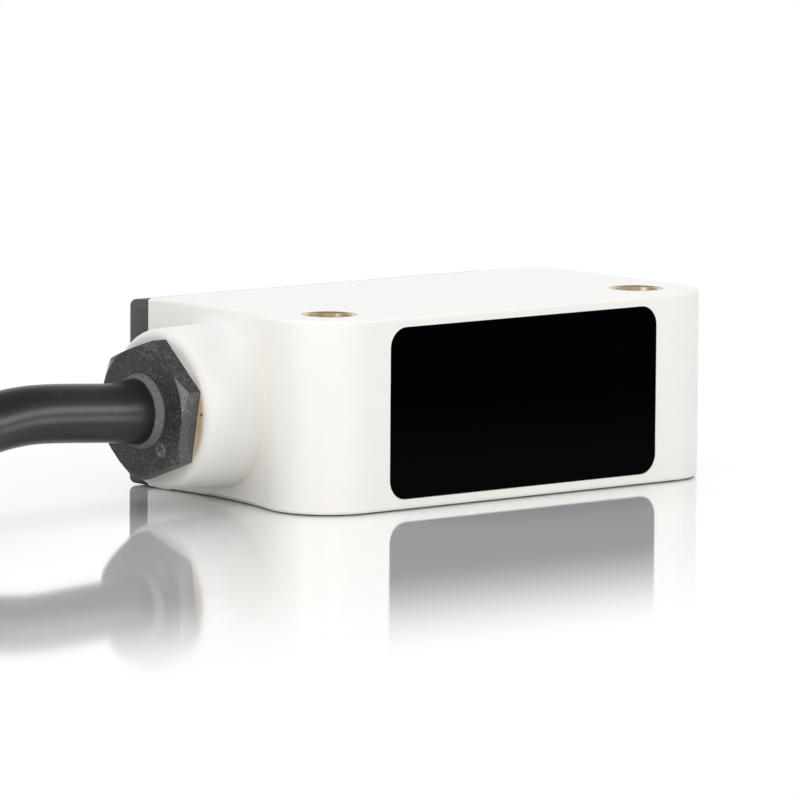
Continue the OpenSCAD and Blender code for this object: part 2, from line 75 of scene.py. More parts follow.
def make_camera():
    """The photograph's camera: far off, with a long lens, a little above the sensor."""
    data = bpy.data.cameras.new("photo_camera")
    data.sensor_width = 36.0
    data.lens = LENS_MM
    data.clip_start = 0.05
    data.clip_end = 20.0
    data.dof.use_dof = False
    camera = link(bpy.data.objects.new("photo_camera", data))
    turn = math.radians(CAMERA_AZIMUTH)
    rise = math.radians(CAMERA_ELEVATION)
    roll = math.radians(CAMERA_ROLL)
    forward = Vector((math.sin(turn) * math.cos(rise), math.cos(turn) * math.cos(rise),
                      -math.sin(rise)))
    right = forward.cross(Vector((0, 0, 1))).normalized()
    up = right.cross(forward)
    right, up = (right * math.cos(roll) + up * math.sin(roll),
                 up * math.cos(roll) - right * math.sin(roll))
    pose = Matrix((right, up, -forward)).transposed().to_4x4()
    camera.matrix_world = Matrix.Translation(CAMERA_AT) @ pose
    bpy.context.scene.camera = camera


make_camera()


# Making a piece. Its measures are in millimetres until it is kept as an object

own_pieces = []


def ride(piece, slot, *replaced):
    """The piece rides on the sensor, takes the finish slot and stands for CAD nodes."""
    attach(piece, "root")
    if replaced:
        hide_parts(*replaced)
    own_pieces.append((piece, slot))
    return piece


def sharp_edges(bm, degrees):
    """The edges where two faces turn by more than an angle."""
    limit = math.radians(degrees)
    return [e for e in bm.edges if len(e.link_faces) == 2 and e.calc_face_angle() > limit]


def ease_edges(bm, edges, width, segments=2):
    """Round edges over a width on either side of them."""
    bmesh.ops.bevel(bm, geom=edges, offset=width, offset_type="OFFSET", segments=segments,
                    affect="EDGES", profile=0.5, material=-1, clamp_overlap=True)


def add_block(bm, low, high):
    """A box between two corners. Gives back its top face."""
    low, high = Vector(low), Vector(high)
    verts = bmesh.ops.create_cube(bm, size=1.0)["verts"]
    bmesh.ops.scale(bm, vec=high - low, verts=verts)
    bmesh.ops.translate(bm, vec=(low + high) / 2, verts=verts)
    faces = {face for vert in verts for face in vert.link_faces}
    return max(faces, key=lambda face: face.calc_center_median().z)


def keep_mesh(name, bm, sharp=15):
    """The mesh as an object in metres, smooth but for its edges over an angle."""
    bmesh.ops.scale(bm, vec=(MM, MM, MM), verts=bm.verts)
    data = bpy.data.meshes.new(name)
    bm.to_mesh(data)
    bm.free()
    data.shade_smooth()
    data.set_sharp_from_angle(angle=math.radians(sharp))
    return link(bpy.data.objects.new(name, data))


def length_of(points):
    """Length of the line through the points."""
    return sum((b - a).length for a, b in zip(points, points[1:]))


def smooth_line(points, count):
    """The points joined by a Catmull-Rom line, with count steps between two of them."""
    out = []
    ends = [2 * points[0] - points[1]] + list(points) + [2 * points[-1] - points[-2]]
    for p0, p1, p2, p3 in zip(ends, ends[1:], ends[2:], ends[3:]):
        for step in range(count):
            t = step / count
            out.append(0.5 * ((2 * p1) + (p2 - p0) * t + (2 * p0 - 5 * p1 + 4 * p2 - p3) * t * t
                              + (3 * p1 - p0 - 3 * p2 + p3) * t ** 3))
    out.append(points[-1].copy())
    return out


def round_cords(name, lines, diameter, sides=6, flare=0.0):
    """Round cords along lines of points, as one bevelled curve. Its thickness is kept in the
    points, and a flare adds to their radius over the first stretch of each line."""
    data = bpy.data.curves.new(name, "CURVE")
    data.dimensions = "3D"
    data.bevel_depth = 1.0
    data.bevel_resolution = sides
    data.use_fill_caps = True
    for line in lines:
        spline = data.splines.new("POLY")
        spline.points.add(len(line) - 1)
        for point, place in zip(spline.points, line):
            point.co = (*(place * MM), 1)
            swell = 1 - ease((place - line[0]).length / FLARE_L)
            point.radius = (diameter / 2 + flare * swell) * MM
        spline.use_smooth = True
    return link(bpy.data.objects.new(name, data))


# Cable

CABLE_D = 5.5
# What the cable swells by on its radius where the gland grips it, and over what length
FLARE, FLARE_L = 0.28, 3.4

# The cable from the nut to the hank, as in the part's source
CABLE_ROUTE = [
    (-34, 10.3, 9), (-37, 10.3, 9.1), (-40, 10.3, 9.3), (-43, 10.3, 9.5),
    (-46, 10.3, 9.6), (-48.5, 10.3, 9.45), (-51, 10.2, 9.1), (-54, 9.9, 8.5),
    (-57, 9.3, 7.5), (-59.5, 8.4, 6.4), (-61.8, 7.2, 5.25), (-63.8, 5.8, 4.2),
    (-65.4, 4.4, 3.4), (-66.44, 3.39, 2.75),
]

# The hank: centre of its right bend, length of its straight runs, and layers of two turns each
HANK_X, HANK_Y = -82.0, 18.95
HANK_RUN = 50.0
LAYERS = 4
HANK_H = LAYERS * CABLE_D
# Radius of the bends between the two turns, and what the two turns take up side by side
TURN_MID = 3.5 * CABLE_D
BUNDLE = 2 * CABLE_D
# The share by which the turns lie further apart in the bends
BEND_SPREAD = 0.16
# Where the cable comes into the right bend, as a share of the bend
JOIN_AT = 0.75
# The stretch of the right bend in which the cable steps over to its next turn
CROSS_FROM, CROSS_L = 0.12, 0.76
RUN_STEPS, BEND_STEPS, CROSS_STEPS, END_STEPS = 8, 10, 12, 6
# The end of the cable lies between the two top turns, sunk by a share of its diameter
END_SUNK = 0.14
JACKET_END = HANK_X - 31

# Two ties go round the runs at mid-length. The cable is lifted by their thickness: fully up to
# a distance from their middle, and easing off over the length after it
TIE_X = HANK_X - HANK_RUN / 2
TIE_T = 0.8
LIFT_HALF, LIFT_EASE = 3.0, 16.0

FRONT, LEFT, REAR, RIGHT = range(4)


def lift_at(x):
    """The hank lies on its ties at mid-length and on the floor elsewhere."""
    return TIE_T * (1 - ease((abs(x - TIE_X) - LIFT_HALF) / LIFT_EASE))


def hank_cells():
    """(across, layer) of each turn from the floor up: inwards on one layer, outwards on the
    next."""
    cells = []
    for layer in range(LAYERS):
        across = (1, 0) if layer % 2 == 0 else (0, 1)
        cells += [(a, layer) for a in across]
    return cells


def hank_point(across, layer, side, along):
    """A point of one turn, on one side of the hank and at a share of that side."""
    spread = 1.0
    if side in (LEFT, RIGHT):
        spread += BEND_SPREAD * math.sin(math.pi * along)
    r = TURN_MID + (across - 0.5) * CABLE_D * spread
    z = CABLE_D / 2 + layer * CABLE_D
    turn = math.pi * along
    if side == FRONT:
        x, y = HANK_X - HANK_RUN * along, HANK_Y - r
    elif side == REAR:
        x, y = HANK_X - HANK_RUN * (1 - along), HANK_Y + r
    elif side == LEFT:
        x, y = HANK_X - HANK_RUN - r * math.sin(turn), HANK_Y - r * math.cos(turn)
    else:
        x, y = HANK_X + r * math.sin(turn), HANK_Y + r * math.cos(turn)
    return Vector((x, y, z + lift_at(x)))


def hank_path():
    """The whole centre line of the cable outside the nut: its route, the rest of the bend that
    it comes into, each turn of the hank, and its end on top."""
    points = [Vector(p) for p in CABLE_ROUTE]
    for step in (1, 2, 3):
        points.append(hank_point(1, 0, RIGHT, JOIN_AT + step / CROSS_STEPS))
    cells = hank_cells()
    after = cells[1:] + [(0.5, LAYERS - END_SUNK)]
    for (across, layer), (to_across, to_layer) in zip(cells, after):
        for step in range(1, RUN_STEPS + 1):
            points.append(hank_point(across, layer, FRONT, step / RUN_STEPS))
        for step in range(1, BEND_STEPS + 1):
            points.append(hank_point(across, layer, LEFT, step / BEND_STEPS))
        for step in range(1, RUN_STEPS + 1):
            points.append(hank_point(across, layer, REAR, step / RUN_STEPS))
        for step in range(1, CROSS_STEPS + 1):
            u = step / CROSS_STEPS
            shift = ease((u - CROSS_FROM) / CROSS_L)
            points.append(hank_point(across + (to_across - across) * shift,
                                     layer + (to_layer - layer) * shift, RIGHT, u))
    for step in range(1, END_STEPS + 1):
        x = HANK_X + (JACKET_END - HANK_X) * step / END_STEPS
        points.append(Vector((x, HANK_Y - TURN_MID,
                              CABLE_D * (LAYERS + 0.5 - END_SUNK) + lift_at(x))))
    return points


def make_cable():
    """The jacketed cable from the nut to its end on the hank, and its length in metres."""
    line = smooth_line(hank_path(), 2)
    cable = round_cords("cable_jacket", [line], CABLE_D, 8, FLARE)
    return ride(cable, "jacket", "cable", "cable_hank"), length_of(line) * MM


# Cores at the far end of the cable

CORES = ("brown", "blue", "black")
CORE_D = 1.3
# Length of the cores past the jacket, of their stripped tips, and of what the jacket hides
LEAD_L, TIP_L, CORE_HIDDEN = 50.0, 6.0, 3.0
# How far apart the cores lie, and how high each one leaves the jacket
CORE_GAP = 1.45
CORE_Z = (HANK_H + 1.3, HANK_H + 3.3, HANK_H + 1.3)
# The stretch in which the cores come down onto the turns
DROP_FROM, DROP_L = 2.0, 8.0
CORE_STEPS = 60
# Wires of a stripped core: how many, their diameter, the ring they lie on, and their twist
WIRES, WIRE_D, WIRE_RING, WIRE_TWIST = 6, 0.28, 0.27, 1.5
WIRE_STEPS = 24
WIRE_HIDDEN = 0.5


def lead_place(k, s):
    """Place of core k at the distance s from the end of the jacket: it drops onto the turns
    and follows them round the left end."""
    r = TURN_MID + CORE_GAP * (1 - k)
    z = CORE_Z[k] + ease((s - DROP_FROM) / DROP_L) * (HANK_H + CORE_D / 2 - CORE_Z[k])
    straight = JACKET_END - HANK_X + HANK_RUN
    if s < straight:
        return Vector((JACKET_END - s, HANK_Y - r, z))
    turn = (s - straight) / r
    return Vector((HANK_X - HANK_RUN - r * math.sin(turn), HANK_Y - r * math.cos(turn), z))


def make_core(k):
    """One core past the jacket, up to its stripped tip."""
    span = LEAD_L - TIP_L + CORE_HIDDEN
    route = [lead_place(k, -CORE_HIDDEN + span * i / CORE_STEPS) for i in range(CORE_STEPS + 1)]
    core = round_cords("core_end_" + CORES[k], [route], CORE_D)
    return ride(core, f"core_{CORES[k]}_pvc", "lead_" + CORES[k])


def twisted_wires(k):
    """The wires of one stripped core, twisted about its line."""
    lines = []
    span = TIP_L + WIRE_HIDDEN
    for wire in range(WIRES):
        line = []
        for i in range(WIRE_STEPS + 1):
            s = LEAD_L - span + span * i / WIRE_STEPS
            way = (lead_place(k, s + 0.1) - lead_place(k, s - 0.1)).normalized()
            side = way.cross(Vector((0, 0, 1))).normalized()
            a = 2 * math.pi * (wire / WIRES + WIRE_TWIST * i / WIRE_STEPS)
            off = math.cos(a) * side + math.sin(a) * side.cross(way)
            line.append(lead_place(k, s) + WIRE_RING * off)
        lines.append(line)
    return lines


def make_tips():
    """The stripped ends of the three cores, twisted and tinned."""
    wires = [line for k in range(len(CORES)) for line in twisted_wires(k)]
    return ride(round_cords("tinned_tips", wires, WIRE_D, 3), "tinned_metal", "lead_tips")


# Locking heads of the ties

# Width, thickness and height of a head, and how high its foot is
HEAD_W, HEAD_T, HEAD_H, HEAD_Z = 5.8, 3.3, 6.0, 9.5
# How far a head reaches into its band, and how far its edges are rounded
HEAD_SUNK, HEAD_EASE = 0.3, 0.22
# The slot in its top: the rim left round it, how much it narrows, and its depth
SLOT_RIM, SLOT_DRAFT, SLOT_DEPTH = 0.75, 0.08, 1.6
# The cut end of the strap, from inside the head to where it stands out
STRAP_W, STRAP_T, STRAP_FROM, STRAP_OUT = 3.6, 0.9, 1.0, 1.1


def make_tie_heads():
    """The locking head of each tie on the outer side of its band, with the cut end of the
    strap standing out of its slot."""
    bm = bmesh.new()
    head_top = HEAD_Z + HEAD_H
    for side in (-1, 1):
        band = HANK_Y + side * (TURN_MID + BUNDLE / 2 + TIE_T)
        near, far = sorted((band - side * HEAD_SUNK, band + side * HEAD_T))
        top = add_block(bm, (TIE_X - HEAD_W / 2, near, HEAD_Z), (TIE_X + HEAD_W / 2, far, head_top))
        bmesh.ops.inset_region(bm, faces=[top], thickness=SLOT_RIM, depth=0.0)
        bmesh.ops.inset_region(bm, faces=[top], thickness=SLOT_DRAFT, depth=-SLOT_DEPTH)
        strap = (near + far) / 2 - STRAP_T / 2
        add_block(bm, (TIE_X - STRAP_W / 2, strap, HEAD_Z + STRAP_FROM),
                  (TIE_X + STRAP_W / 2, strap + STRAP_T, head_top + STRAP_OUT))
    bmesh.ops.recalc_face_normals(bm, faces=bm.faces)
    ease_edges(bm, [e for e in sharp_edges(bm, 60) if e.is_convex], HEAD_EASE, 3)
    return ride(keep_mesh("tie_heads", bm, 35), "tie_plastic")


cable, cable_length = make_cable()
core_ends = [make_core(k) for k in range(len(CORES))]
tinned_tips = make_tips()
tie_heads = make_tie_heads()


# Gland nut

NUT_AF, NUT_T, COLLAR_T = 11.8, 1.9, 0.8
# The nut's turn on its thread, in degrees
NUT_TURN = 10.5
# Centre of the nut's back, against the boss
NUT_AT = Vector(CABLE_ROUTE[0]) + Vector((NUT_T + COLLAR_T, 0, 0))
# The coned corners go from the face to the back at this slope
NUT_FACE_R = NUT_AF / 2 + 0.05
NUT_BACK_R = NUT_AF / math.sqrt(3) + 0.1
NUT_CONE = math.tan(math.radians(30))
COLLAR_FOOT_R = 3.6
BORE_R = 2.85
SHANK_R, SHANK_L, SHANK_CHAMFER = 4.4, 4.4, 0.3
NUT_CORNER_EASE, NUT_EDGE_EASE = 0.17, 0.08
SPIN_STEPS = 160


def nut_section():
    """Half of the nut's section as (radius, height): shank, flange with its cone, and a collar
    that leans in and is rounded at its mouth."""
    top = NUT_T + COLLAR_T
    cone_foot = NUT_T - (NUT_BACK_R - NUT_FACE_R) * NUT_CONE
    return [
        (BORE_R, -SHANK_L), (SHANK_R - SHANK_CHAMFER, -SHANK_L),
        (SHANK_R, SHANK_CHAMFER - SHANK_L), (SHANK_R, 0),
        (NUT_BACK_R, 0), (NUT_BACK_R, cone_foot), (NUT_FACE_R, NUT_T), (COLLAR_FOOT_R, NUT_T),
        (COLLAR_FOOT_R - 0.1, NUT_T + 0.15), (COLLAR_FOOT_R - 0.35, top - 0.05),
        (COLLAR_FOOT_R - 0.45, top), (BORE_R + 0.1, top), (BORE_R, top - 0.2),
    ]


def cut_flats(bm):
    """Cut the six flats off the turned nut, and close each cut with a face."""
    for k in range(6):
        turn = math.radians(60 * k + 30 - NUT_TURN)
        out = Vector((math.cos(turn), math.sin(turn), 0))
        cut = bmesh.ops.bisect_plane(bm, geom=bm.verts[:] + bm.edges[:] + bm.faces[:], dist=1e-5,
                                     plane_co=out * NUT_AF / 2, plane_no=out, clear_outer=True)
        rim = [e for e in cut["geom_cut"] if isinstance(e, bmesh.types.BMEdge)]
        bmesh.ops.contextual_create(bm, geom=rim)
    bmesh.ops.recalc_face_normals(bm, faces=bm.faces)


def ease_nut(bm):
    """Round the six corners between the flats, and then the edges of the head and the collar."""
    corners = [e for e in sharp_edges(bm, 40)
               if abs(e.verts[0].co.z - e.verts[1].co.z) > NUT_T / 2
               and e.verts[0].co.xy.length > NUT_AF / 2]
    ease_edges(bm, corners, NUT_CORNER_EASE)
    head = [e for e in sharp_edges(bm, 32)
            if all(v.co.z > -0.01 and v.co.xy.length > COLLAR_FOOT_R - 0.3 for v in e.verts)]
    ease_edges(bm, head, NUT_EDGE_EASE)


def make_nut():
    """The nut is turned from its section, gets its flats and is put on the boss."""
    bm = bmesh.new()
    corners = [bm.verts.new((r, 0, z)) for r, z in nut_section()]
    outline = [bm.edges.new(pair) for pair in zip(corners, corners[1:] + corners[:1])]
    bmesh.ops.spin(bm, geom=corners + outline, cent=(0, 0, 0), axis=(0, 0, 1), steps=SPIN_STEPS,
                   angle=2 * math.pi, use_merge=True)
    bmesh.ops.remove_doubles(bm, verts=bm.verts, dist=1e-4)
    bmesh.ops.recalc_face_normals(bm, faces=bm.faces)
    cut_flats(bm)
    ease_nut(bm)
    place = Matrix(((0, 0, -1, NUT_AT.x), (0, 1, 0, NUT_AT.y), (1, 0, 0, NUT_AT.z),
                    (0, 0, 0, 1)))
    bmesh.ops.transform(bm, matrix=place, verts=bm.verts)
    return ride(keep_mesh("cable_nut", bm), "nut_plastic", "gland_nut")


make_nut()


# Rear cover

# Height of its lower edge with the rounding, and the gap under it
COVER_EDGE_H, COVER_GAP = 0.65, 0.03


def make_cover():
    """The cover as in the frame, with its lower edge let down to the face the sensor lies on."""
    bm = bmesh.new()
    bm.from_mesh(nodes["rear_cover"].data)
    bmesh.ops.remove_doubles(bm, verts=bm.verts, dist=1e-6)
    bmesh.ops.scale(bm, vec=(1 / MM, 1 / MM, 1 / MM), verts=bm.verts)
    low = min(v.co.z for v in bm.verts)
    edge = [v for v in bm.verts if v.co.z < low + COVER_EDGE_H]
    bmesh.ops.translate(bm, vec=(0, 0, COVER_GAP - low), verts=edge)
    return ride(keep_mesh("cover_plate", bm, 32), "cover_plastic", "rear_cover")


make_cover()


# Nodes of the finishes


class Value:
    """The output of a node. An operator on it adds a Math node."""

    def __init__(self, maker, socket):
        self.maker, self.socket = maker, socket

    def math(self, operation, *others):
        """A Math node on this value and others."""
        return self.maker.node("Math", {"operation": operation}, [self, *others])

    def __add__(self, other):
        return self.math("ADD", other)

    def __sub__(self, other):
        return self.math("SUBTRACT", other)

    def __rsub__(self, other):
        return self.math("MULTIPLY_ADD", -1.0, other)

    def __mul__(self, other):
        return self.math("MULTIPLY", other)

    def __lt__(self, other):
        return self.math("LESS_THAN", other)

    def __gt__(self, other):
        return self.math("GREATER_THAN", other)

    def __abs__(self):
        return self.math("ABSOLUTE")

    __radd__, __rmul__ = __add__, __mul__

    def ramp(self, low, high):
        """0 at low, 1 at high, smooth between them and held outside them."""
        return self.maker.node("MapRange", {"interpolation_type": "SMOOTHSTEP"},
                               [self, low, high, 0.0, 1.0])

    def between(self, low, high, edge=0.1):
        """1 between two values, with an edge inside each of them, and 0 outside."""
        return self.ramp(low, low + edge) * self.ramp(high, high - edge)


class NodeMaker:
    """A tree of shader nodes. Its node method makes every node of this script."""

    def __init__(self, tree):
        self.tree = tree

    def node(self, kind, settings=None, inputs=(), output=0):
        """A node of a kind: first its settings, then the values or links of its sockets."""
        made = self.tree.nodes.new("ShaderNode" + kind)
        for name, value in (settings or {}).items():
            setattr(made, name, value)
        pairs = inputs.items() if isinstance(inputs, dict) else enumerate(inputs)
        for key, value in pairs:
            if isinstance(value, Value):
                self.tree.links.new(value.socket, made.inputs[key])
            else:
                made.inputs[key].default_value = value
        return Value(self, made.outputs[output])


class Finish(NodeMaker):
    """A procedural material: a Principled shader and the nodes that vary it."""

    def __init__(self, name, **constants):
        self.material = bpy.data.materials.new(name)
        self.material.use_nodes = True
        super().__init__(self.material.node_tree)
        self.shader = self.tree.nodes["Principled BSDF"]
        for socket, value in constants.items():
            self.shader.inputs[socket.replace("_", " ")].default_value = value
        self.place = self.node("TexCoord", output="Object")

    def noise(self, grain_mm, detail=2.0, stretch=(1, 1, 1), seed=0.0):
        """Soft noise from 0 to 1 with grains of a size, longer along an axis with less stretch."""
        place = self.node("Mapping", None, {"Vector": self.place, "Location": (seed, seed, seed),
                                            "Scale": stretch})
        return self.node("TexNoise", None, {"Vector": place, "Detail": detail,
                                            "Scale": 1 / (grain_mm * MM)})

    def axis(self, name):
        """One coordinate of the surface, in millimetres."""
        return self.node("SeparateXYZ", None, [self.place], name) * (1 / MM)

    def distance(self, at, along=None):
        """Distance in millimetres from a point, or from a line along an axis through it."""
        keep = [0 if axis == along else 1 for axis in "XYZ"]
        flat = self.node("VectorMath", {"operation": "MULTIPLY"}, [self.place, keep])
        centre = [keep[i] * at[i] * MM for i in range(3)]
        off = self.node("VectorMath", {"operation": "DISTANCE"}, [flat, centre], "Value")
        return off * (1 / MM)

    def blend(self, factor, first, second):
        """Colour that goes from the first to the second as the factor goes from 0 to 1."""
        first, second = (c if isinstance(c, Value) else (*c, 1.0) for c in (first, second))
        return self.node("Mix", {"data_type": "RGBA"}, {0: factor, 6: first, 7: second}, 2)

    def bump(self, height_mm, height, under=None):
        """A Bump node for a height from 0 to 1, on top of an earlier one."""
        inputs = {"Height": height, "Distance": height_mm * MM, "Strength": 1.0}
        if under:
            inputs["Normal"] = under
        return self.node("Bump", None, inputs)

    def finish(self, **sockets):
        """Link the colour, roughness and normal to the shader, and give back the material."""
        for socket, value in sockets.items():
            self.tree.links.new(value.socket, self.shader.inputs[socket.replace("_", " ")])
        return self.material


def mixed(colour, other, share):
    """A colour moved a share of the way to another one."""
    return tuple(a + (b - a) * share for a, b in zip(colour, other))


# Finishes of the outside

# Specks of dust on the housing: place and radius
DUST = [((-31.3, 3.75, 9.15), 0.20), ((-24.7, -1.5, 0.62), 0.10)]
# The torn stub where the nut was cut from its runner
GATE_AT = (-33.2, 7.3, 5.7)
# The fixing holes from the middle of the sensor
HOLE_X = 19.1


def housing_plastic():
    """Ivory white moulding with faint insert marks at the left corner, two specks of dust and
    an amber tint beside the nut."""
    f = Finish("housing_plastic", Specular_IOR_Level=0.4)
    grain = f.noise(0.10, 2.0)
    colour = f.blend(f.noise(9.0, 3.0), (0.815, 0.805, 0.765), (0.85, 0.845, 0.81))
    colour = f.blend(amber_tint_by_nut(f), colour, (0.50, 0.33, 0.12))
    for at, size in DUST:
        colour = f.blend(f.distance(at).ramp(size, size * 0.6), colour, (0.10, 0.08, 0.06))
    marks = f.bump(0.02, insert_marks(f))
    return f.finish(Base_Color=colour, Roughness=0.34 + 0.10 * grain,
                    Normal=f.bump(0.0022, grain, marks))


def amber_tint_by_nut(f):
    """A thin ring on the end of the boss along the nut's front edge, from 0 to 1."""
    on_end = f.axis("X").ramp(-31.0, -31.25)
    ring = f.distance(NUT_AT, "X").ramp(7.15, 6.5)
    front = f.axis("Y").ramp(6.0, 4.0)
    height = f.axis("Z").ramp(1.6, 4.5) * f.axis("Z").ramp(13.5, 11.0)
    return on_end * ring * front * height * (0.55 + 0.4 * f.noise(0.9, 2.0, seed=0.3))


def insert_marks(f):
    """Faint steps that the mould's inserts left on the left front corner, from 0 to 1."""
    y, z = f.axis("Y"), f.axis("Z")
    upper = y.between(-2.0, -0.05) * z.ramp(11.55, 11.65)
    notch = y.between(-1.8, -0.45) * z.ramp(12.5, 12.6)
    lower = y.between(-1.3, -0.45) * z.ramp(4.9, 4.8)
    return (upper * 0.6 + notch + lower * 0.8) * (f.axis("X") < -20.0)


def nut_plastic():
    """Glass-filled nylon: a dark grey that is speckled with pale fibre ends, and painted paler as
    painted highlight on its cones, collar side and lower flats.
    """
    f = Finish("nut_plastic", Specular_IOR_Level=0.5)
    fibre = f.noise(0.17, 4.0).ramp(0.50, 0.66)
    patch = f.noise(1.6, 2.0, seed=0.7).ramp(0.35, 0.65)
    # How far the surface lies off the nut's axis, behind its face, and over the floor
    off, back, height = f.distance(NUT_AT, "X"), f.axis("X") - (NUT_AT.x - NUT_T), f.axis("Z")
    # Painted highlight: the cones, the collar's side and the lower flats are painted paler, and one
    # cone most of all, which is also made glossier
    cone = (back - (off - NUT_FACE_R) * NUT_CONE).ramp(0.08, 0.03) * off.ramp(5.95, 6.05)
    painted_highlight_cone = cone * height.ramp(13.6, 12.6) * height.ramp(7.0, 8.5)
    flank = back.ramp(-0.04, -0.12) * off.ramp(3.1, 3.2)
    flats = off.ramp(5.86, 5.9) * back.ramp(0.08, 0.16) * (1 - cone)
    rough = cone * 0.12 + painted_highlight_cone * 0.5 + flank * 0.75 + flats * (height < 11.2) * 0.30
    base = f.blend(f.noise(2.4, 3.0), (0.020, 0.020, 0.021), (0.034, 0.033, 0.034))
    # Painted highlight: the paler colour laid over the cones, the collar's side and the lower flats
    base = f.blend(rough, base, (0.20, 0.195, 0.185))
    # Pale fibre specks, denser where the highlight is painted
    specks_and_painted_highlight = fibre * (0.22 + 0.45 * patch + 0.33 * rough)
    colour = f.blend(specks_and_painted_highlight, base, (0.26, 0.255, 0.245))
    scar = f.distance(GATE_AT).ramp(1.0, 0.45) * f.noise(0.42, 3.0).ramp(0.44, 0.58)
    colour = f.blend(scar * 0.55, colour, (0.42, 0.42, 0.41))
    skin = f.bump(0.016, f.noise(0.13, 3.0), f.bump(0.12, scar))
    return f.finish(Base_Color=colour, Roughness=0.42 + 0.16 * f.noise(0.2) - 0.22 * painted_highlight_cone,
                    Normal=skin)


def window_plastic():
    """Black infrared filter, polished, with a very slight waviness."""
    f = Finish("window_plastic", IOR=1.5, Specular_IOR_Level=0.004)
    flow = f.noise(14.0, 1.0)
    return f.finish(Base_Color=f.blend(flow, (0.0003, 0.0003, 0.0004), (0.0006, 0.0006, 0.0007)),
                    Roughness=0.05 + 0.03 * flow, Normal=f.bump(0.004, flow))


def brass():
    """Turned brass: rings of the tool, a faint brown tarnish, and painted shade on its outer edge.
    """
    f = Finish("brass", Metallic=1.0)
    tarnish = f.noise(1.6, 3.0)
    flat = f.node("CombineXYZ", None, [abs(f.axis("X")) - HOLE_X, f.axis("Y"), 0.0])
    off = f.node("VectorMath", {"operation": "LENGTH"}, [flat], "Value")
    rings = (off * 46).math("SINE")
    colour = f.blend(tarnish, (0.80, 0.64, 0.40), (0.96, 0.86, 0.66))
    # Painted shade: the outer edge of the ring is darkened
    colour = f.blend(off.ramp(2.38, 2.56) * 0.85, colour, (0.20, 0.15, 0.10))
    return f.finish(Base_Color=colour, Roughness=0.24 + 0.14 * tarnish,
                    Normal=f.bump(0.012, rings))


def cable_jacket():
    """Drawn PVC: satin, with fine grains and slightly paler scuffs."""
    f = Finish("jacket", Specular_IOR_Level=0.50)
    grain = f.noise(0.14, 2.0)
    scuff = f.noise(1.1, 4.0, seed=0.4).ramp(0.55, 0.85)
    base = f.blend(f.noise(7.0, 2.0), (0.012, 0.0115, 0.012), (0.018, 0.017, 0.018))
    return f.finish(Base_Color=f.blend(scuff * grain * 0.7, base, (0.09, 0.088, 0.086)),
                    Roughness=0.26 + 0.10 * grain, Normal=f.bump(0.004, grain))


def moulded(name, colour, drift=0.06, rough=(0.4, 0.5), grain_mm=0.12, height_mm=0.004,
            **constants):
    """Moulded plastic or rubber: its colour drifts a little, and its skin is finely eroded."""
    f = Finish(name, **constants)
    grain = f.noise(grain_mm, 2.0)
    dark, light = mixed(colour, (0, 0, 0), drift), mixed(colour, (1, 1, 1), drift * 0.5)
    return f.finish(Base_Color=f.blend(f.noise(6.0, 3.0), dark, light),
                    Roughness=rough[0] + (rough[1] - rough[0]) * grain,
                    Normal=f.bump(height_mm, grain))


# Finishes of the inside


def clear_lens():
    """Clear moulded lens with a faint blue cast."""
    f = Finish("lens_plastic", IOR=1.49, Transmission_Weight=1.0)
    flow = f.noise(3.0, 1.0)
    return f.finish(Base_Color=f.blend(flow, (0.86, 0.90, 0.93), (0.92, 0.95, 0.97)),
                    Roughness=0.02 + 0.03 * flow, Normal=f.bump(0.001, flow))


def board():
    """Solder resist over copper lines: straight runs that show through as a paler green."""
    f = Finish("board", Specular_IOR_Level=0.5)
    along, across = f.axis("X") * 1.1, (f.axis("Z") + f.axis("Y")) * 0.9
    lane = along.math("FRACT").ramp(0.55, 0.62)
    cross = across.math("FRACT").ramp(0.60, 0.66)
    here = f.noise(4.0, 0.0).ramp(0.48, 0.52)
    copper = lane * here + cross * (1 - here)
    colour = f.blend(copper * 0.8, (0.012, 0.075, 0.036), (0.03, 0.16, 0.075))
    return f.finish(Base_Color=colour, Roughness=0.28 + 0.1 * f.noise(0.5),
                    Normal=f.bump(0.02, copper))


def drawn_metal(name, colour, tarnish_colour):
    """Drawn or tinned metal with fine drawing lines and a dull film in places."""
    f = Finish(name, Metallic=1.0)
    film = f.noise(1.2, 3.0)
    lines = f.noise(0.08, 2.0, stretch=(0.1, 1.0, 1.0))
    return f.finish(Base_Color=f.blend(film, tarnish_colour, colour),
                    Roughness=0.15 + 0.2 * film, Normal=f.bump(0.003, lines))


def tinted_resin(name, colour, roughness, share):
    """Tinted clear resin, with a slightly deeper colour in streaks."""
    f = Finish(name, IOR=1.5, Transmission_Weight=share)
    flow = f.noise(1.5, 2.0)
    return f.finish(Base_Color=f.blend(flow, mixed(colour, (0, 0, 0), 0.25), colour),
                    Roughness=roughness + 0.04 * flow, Normal=f.bump(0.002, flow))


